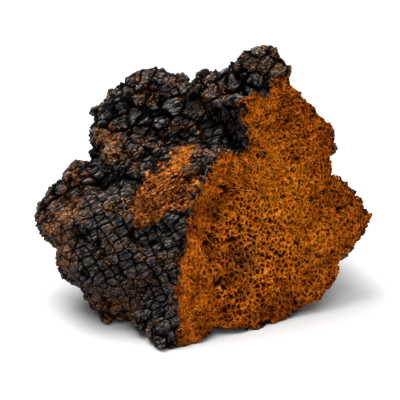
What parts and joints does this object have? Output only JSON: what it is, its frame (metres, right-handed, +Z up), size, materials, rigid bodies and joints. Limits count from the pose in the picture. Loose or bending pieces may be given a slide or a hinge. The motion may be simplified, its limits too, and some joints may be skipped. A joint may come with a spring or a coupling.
{
  "type": "chaga mushroom chunk",
  "caption": "Harvested chunk of chaga fungus with a cracked, charcoal-like crust and one broken face of spongy, fibrous orange flesh.",
  "frame": {"origin": "on the resting surface, under the middle of the chunk's bounding box", "axes": "+X to the right along the chunk's longest side, +Y away from the viewer and the broken face, +Z up"},
  "size_m": [0.1662, 0.1216, 0.1277],
  "materials": {
    "charred_crust": "cracked and charred, dull with a faint sheen",
    "broken_flesh": "dry, corky and fibrous"
  },
  "bodies": {
    "root": {"chaga_chunk": "charred_crust"}
  },
  "joints": []
}
